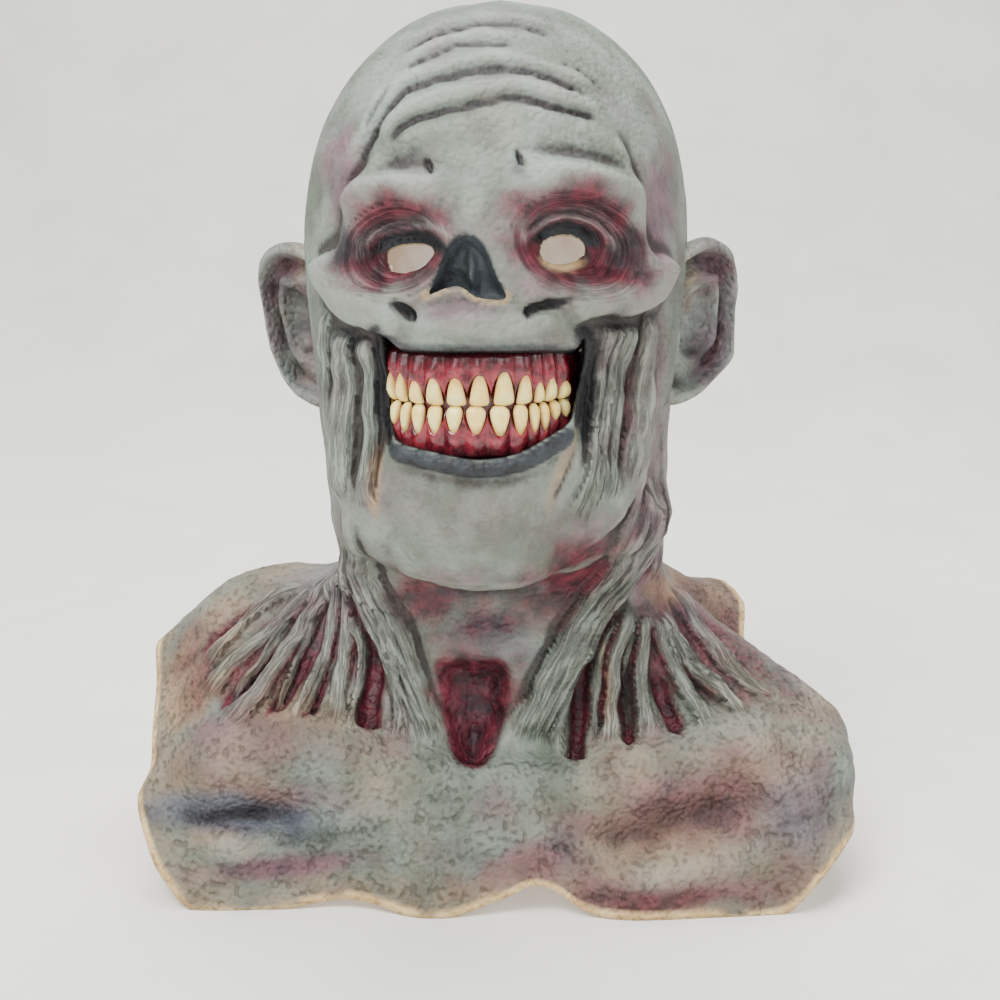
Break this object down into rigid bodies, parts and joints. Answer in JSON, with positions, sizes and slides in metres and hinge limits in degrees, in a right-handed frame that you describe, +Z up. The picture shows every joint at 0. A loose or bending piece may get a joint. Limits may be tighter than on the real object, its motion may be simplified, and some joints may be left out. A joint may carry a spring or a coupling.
{
  "type": "zombie mask",
  "caption": "Full-head latex zombie mask with a shoulder bib: bald skull, open eye holes, bared gums with separate teeth, and ears.",
  "frame": {"origin": "on the floor, under the middle of the mask's box", "axes": "+Z up, -Y is the way the face looks, +X is the viewer's right"},
  "size_m": [0.3748, 0.2274, 0.438],
  "materials": {
    "latex_skin": "matte painted latex",
    "gums": "wet gloss",
    "teeth": "gloss"
  },
  "bodies": {
    "root": {"latex_skin": "latex_skin", "gums": "gums", "upper_tooth_01": "teeth", "upper_tooth_02": "teeth", "upper_tooth_03": "teeth", "upper_tooth_04": "teeth", "upper_tooth_05": "teeth", "upper_tooth_06": "teeth", "upper_tooth_07": "teeth", "upper_tooth_08": "teeth", "upper_tooth_09": "teeth", "upper_tooth_10": "teeth", "upper_tooth_11": "teeth", "upper_tooth_12": "teeth", "lower_tooth_01": "teeth", "lower_tooth_02": "teeth", "lower_tooth_03": "teeth", "lower_tooth_04": "teeth", "lower_tooth_05": "teeth", "lower_tooth_06": "teeth", "lower_tooth_07": "teeth", "lower_tooth_08": "teeth", "lower_tooth_09": "teeth", "lower_tooth_10": "teeth", "lower_tooth_11": "teeth", "lower_tooth_12": "teeth", "lower_tooth_13": "teeth"}
  },
  "joints": []
}
